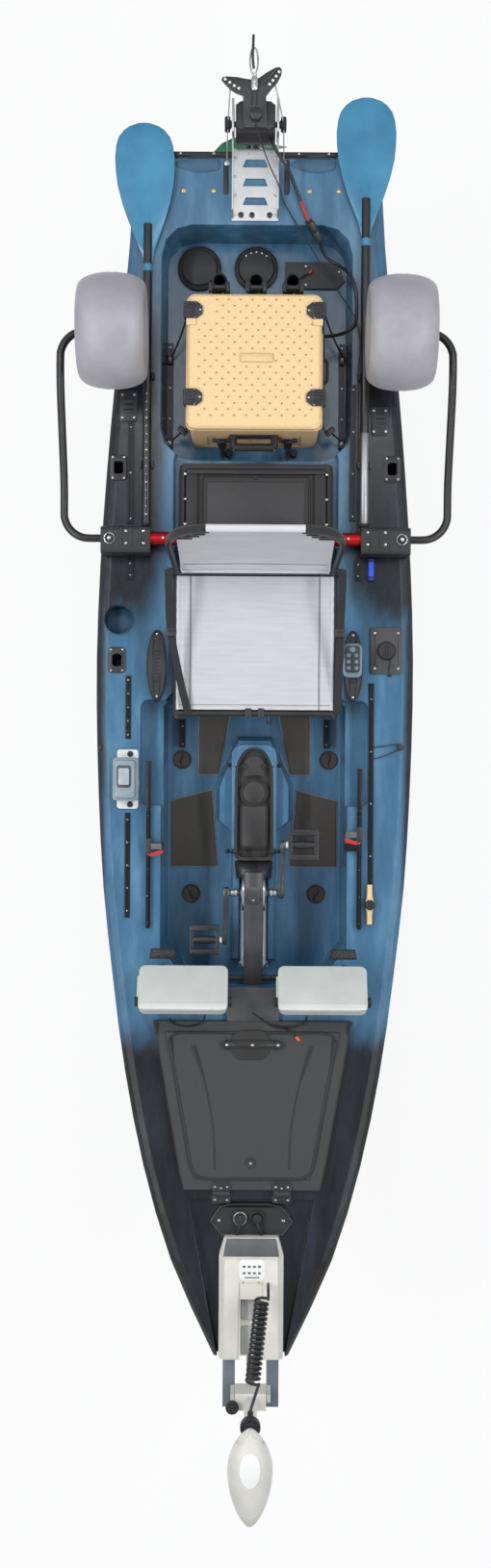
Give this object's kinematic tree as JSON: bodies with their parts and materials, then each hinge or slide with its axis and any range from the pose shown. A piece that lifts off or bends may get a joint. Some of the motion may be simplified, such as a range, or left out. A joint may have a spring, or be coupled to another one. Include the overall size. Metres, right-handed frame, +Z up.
{
  "type": "fishing kayak",
  "caption": "Sit-on-top fishing kayak with pedal drive, framed seat, gear crate, fold-down launch wheels, displays, paddle and tilting electric motors at bow and stern",
  "frame": {"origin": "On the centreline at the level of the hull's flat bottom, in the drive slot under the cockpit; the kayak is held up there by the water or its cradle", "axes": "+Y runs to the stern along the hull, +X to the side that is on the right with the stern at the top of the view, +Z up"},
  "size_m": [1.2344, 4.4364, 1.4499],
  "materials": {
    "blue_shell": "rotomoulded polyethylene, blue fading to black",
    "blue_paddle": "moulded nylon",
    "black_plastic": "moulded",
    "tan_plastic": "moulded",
    "off_white_plastic": "moulded",
    "display_grey": "moulded cover",
    "balloon": "soft vinyl balloon tyre on a plastic hub",
    "silver_metal": "anodised",
    "black_metal": "anodised",
    "red_metal": "anodised",
    "floor_pad": "textured foam pad",
    "seat_mesh": "woven mesh over foam",
    "propeller_plastic": "moulded",
    "cord_rubber": "rubber jacket",
    "line": "braided line"
  },
  "bodies": {
    "kayak": {"hull": "blue_shell", "tank_lid_left": "black_plastic", "tank_lid_centre": "black_plastic", "battery_plate": "black_plastic", "rod_tube_left": "black_plastic", "rod_tube_centre": "black_plastic", "rod_tube_right": "black_plastic", "crate_body": "tan_plastic", "cross_tube": "red_metal", "wheel_bracket_left": "black_metal", "wheel_bracket_right": "black_metal", "seat_tray": "black_plastic", "control_unit": "black_plastic", "side_handle_left": "black_plastic", "side_handle_right": "black_plastic", "rod_rail_left": "black_metal", "rod_rail_right": "black_metal", "rear_pad_left": "floor_pad", "rear_pad_right": "floor_pad", "front_pad_left": "floor_pad", "front_pad_right": "floor_pad", "console_tray": "black_plastic", "pivot_bar": "black_metal", "dash_plate": "black_plastic", "connector_plate": "black_plastic", "bow_mount": "off_white_plastic", "motor_bracket": "silver_metal", "paddle_left": "blue_paddle", "paddle_right": "blue_paddle", "curly_cord": "cord_rubber", "power_cable": "cord_rubber", "lift_line": "line", "steering_line_left": "line", "steering_line_right": "line"},
    "crate_lid": {"crate_lid": "tan_plastic"},
    "sleeve_left": {"wheel_sleeve_left": "red_metal"},
    "arm_left": {"wheel_arm_left": "black_metal"},
    "wheel_left": {"wheel_left": "balloon"},
    "sleeve_right": {"wheel_sleeve_right": "red_metal"},
    "arm_right": {"wheel_arm_right": "black_metal"},
    "wheel_right": {"wheel_right": "balloon"},
    "drive": {"drive_unit": "black_plastic"},
    "crank": {"crank": "black_metal"},
    "pedal_left": {"pedal_left": "black_plastic"},
    "pedal_right": {"pedal_right": "black_plastic"},
    "drive_propeller": {"drive_propeller": "propeller_plastic"},
    "seat": {"seat_frame": "black_metal", "seat_pad": "seat_mesh"},
    "seat_back": {"back_frame": "black_metal", "back_pad": "seat_mesh"},
    "hatch": {"hatch_lid": "black_plastic"},
    "display_left": {"display_left": "display_grey"},
    "display_right": {"display_right": "display_grey"},
    "bow_cradle": {"bow_cradle": "off_white_plastic"},
    "bow_motor": {"bow_shaft": "black_metal", "bow_head": "off_white_plastic"},
    "bow_propeller": {"bow_propeller": "propeller_plastic"},
    "stern_tilt": {"stern_housing": "black_metal"},
    "stern_motor": {"stern_shaft": "black_metal"},
    "stern_propeller": {"stern_propeller": "propeller_plastic"}
  },
  "joints": [
    {"name": "crate_lid_hinge", "type": "hinge", "parent": "kayak", "child": "crate_lid", "pos_m": [-0.216, 1.31, 0.4806], "axis": [0, -1, 0], "range_deg": [0, 100]},
    {"name": "hatch_hinge", "type": "hinge", "parent": "kayak", "child": "hatch", "pos_m": [0, -1.279, 0.4039], "axis": [1, 0, 0], "range_deg": [0, 95]},
    {"name": "wheel_arm_left_swing", "type": "hinge", "parent": "sleeve_left", "child": "arm_left", "pos_m": [0, 0.779, 0.4], "axis": [1, 0, 0], "range_deg": [0, 205]},
    {"name": "wheel_arm_left_slide", "type": "slide", "parent": "kayak", "child": "sleeve_left", "axis": [-1, 0, 0], "range_m": [0, 0.226]},
    {"name": "wheel_left_spin", "type": "hinge", "parent": "arm_left", "child": "wheel_left", "pos_m": [-0.443, 1.396, 0.53], "axis": [1, 0, 0], "continuous": true},
    {"name": "wheel_arm_right_swing", "type": "hinge", "parent": "sleeve_right", "child": "arm_right", "pos_m": [0, 0.779, 0.4], "axis": [1, 0, 0], "range_deg": [0, 205]},
    {"name": "wheel_arm_right_slide", "type": "slide", "parent": "kayak", "child": "sleeve_right", "axis": [1, 0, 0], "range_m": [0, 0.226]},
    {"name": "wheel_right_spin", "type": "hinge", "parent": "arm_right", "child": "wheel_right", "pos_m": [0.443, 1.396, 0.53], "axis": [1, 0, 0], "continuous": true},
    {"name": "drive_tilt", "type": "hinge", "parent": "kayak", "child": "drive", "pos_m": [0, -0.613, 0.29], "axis": [1, 0, 0], "range_deg": [0, 22]},
    {"name": "crank_spin", "type": "hinge", "parent": "drive", "child": "crank", "pos_m": [0, -0.337, 0.34], "axis": [1, 0, 0], "continuous": true},
    {"name": "drive_propeller_spin", "type": "hinge", "parent": "drive", "child": "drive_propeller", "pos_m": [0, -0.337, -0.262], "axis": [0, 1, 0], "continuous": true},
    {"name": "pedal_left_spin", "type": "hinge", "parent": "crank", "child": "pedal_left", "pos_m": [0, -0.49205, 0.28357], "axis": [1, 0, 0], "continuous": true},
    {"name": "pedal_right_spin", "type": "hinge", "parent": "crank", "child": "pedal_right", "pos_m": [0, -0.18195, 0.39643], "axis": [1, 0, 0], "continuous": true},
    {"name": "seat_slide", "type": "slide", "parent": "kayak", "child": "seat", "axis": [0, 1, 0], "range_m": [-0.1, 0.03]},
    {"name": "seat_back_fold", "type": "hinge", "parent": "seat", "child": "seat_back", "pos_m": [0, 0.676, 0.404], "axis": [1, 0, 0], "range_deg": [-10, 98]},
    {"name": "display_left_tilt", "type": "hinge", "parent": "kayak", "child": "display_left", "pos_m": [0, -0.655, 0.431], "axis": [1, 0, 0], "range_deg": [-15, 25]},
    {"name": "display_right_tilt", "type": "hinge", "parent": "kayak", "child": "display_right", "pos_m": [0, -0.655, 0.431], "axis": [1, 0, 0], "range_deg": [-15, 25]},
    {"name": "bow_motor_tilt", "type": "hinge", "parent": "kayak", "child": "bow_cradle", "pos_m": [0, -1.893, 0.474], "axis": [-1, 0, 0], "range_deg": [0, 90], "deforming": ["curly_cord"]},
    {"name": "bow_motor_steer", "type": "hinge", "parent": "bow_cradle", "child": "bow_motor", "pos_m": [0, -1.893, 0.474], "axis": [0, 0, 1], "range_deg": [-350, 10]},
    {"name": "bow_propeller_spin", "type": "hinge", "parent": "bow_motor", "child": "bow_propeller", "pos_m": [0, -1.893, -0.47], "axis": [0, 1, 0], "continuous": true},
    {"name": "stern_motor_tilt", "type": "hinge", "parent": "kayak", "child": "stern_tilt", "pos_m": [-0.008, 2.086, 0.392], "axis": [1, 0, 0], "range_deg": [0, 75], "deforming": ["power_cable", "lift_line", "steering_line_left", "steering_line_right"]},
    {"name": "stern_motor_steer", "type": "hinge", "parent": "stern_tilt", "child": "stern_motor", "pos_m": [-0.008, 2.086, 0.392], "axis": [0, 0, 1], "range_deg": [-40, 40]},
    {"name": "stern_propeller_spin", "type": "hinge", "parent": "stern_motor", "child": "stern_propeller", "pos_m": [-0.008, 2.086, -0.18], "axis": [-0.1132, 0.9936, 0], "continuous": true}
  ],
  "couplings": [
    {"joint": "wheel_arm_left_slide", "follows": "wheel_arm_left_swing", "m_per_rad": 0.063},
    {"joint": "wheel_arm_right_slide", "follows": "wheel_arm_right_swing", "m_per_rad": 0.063},
    {"joint": "drive_propeller_spin", "follows": "crank_spin", "ratio": 10}
  ]
}
